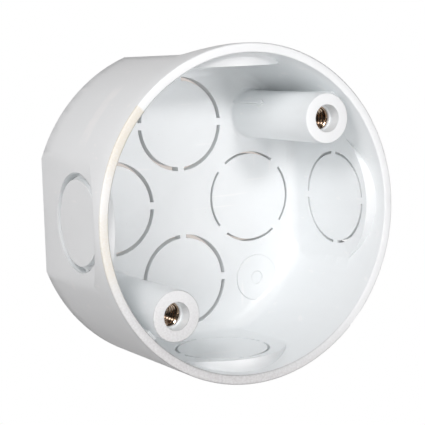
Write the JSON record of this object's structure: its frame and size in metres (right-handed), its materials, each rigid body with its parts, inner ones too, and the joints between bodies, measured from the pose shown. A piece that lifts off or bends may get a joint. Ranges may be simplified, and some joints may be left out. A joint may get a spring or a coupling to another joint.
{
  "type": "round conduit box",
  "caption": "Round white plastic conduit box with bridged knockouts in its base and flat-sided walls, and screw posts with brass inserts for a cover.",
  "frame": {"origin": "middle of the flat back face", "axes": "+Z from the back face out of the opening; +X and +Y through the middles of the side flats, with the screw posts between +X and +Y and opposite"},
  "size_m": [0.0674, 0.0674, 0.0314],
  "materials": {
    "white_plastic": "moulded, semi-gloss",
    "brass": "turned and tapped"
  },
  "bodies": {
    "root": {"box_body": "white_plastic", "upper_brass_insert": "brass", "lower_brass_insert": "brass"}
  },
  "joints": []
}
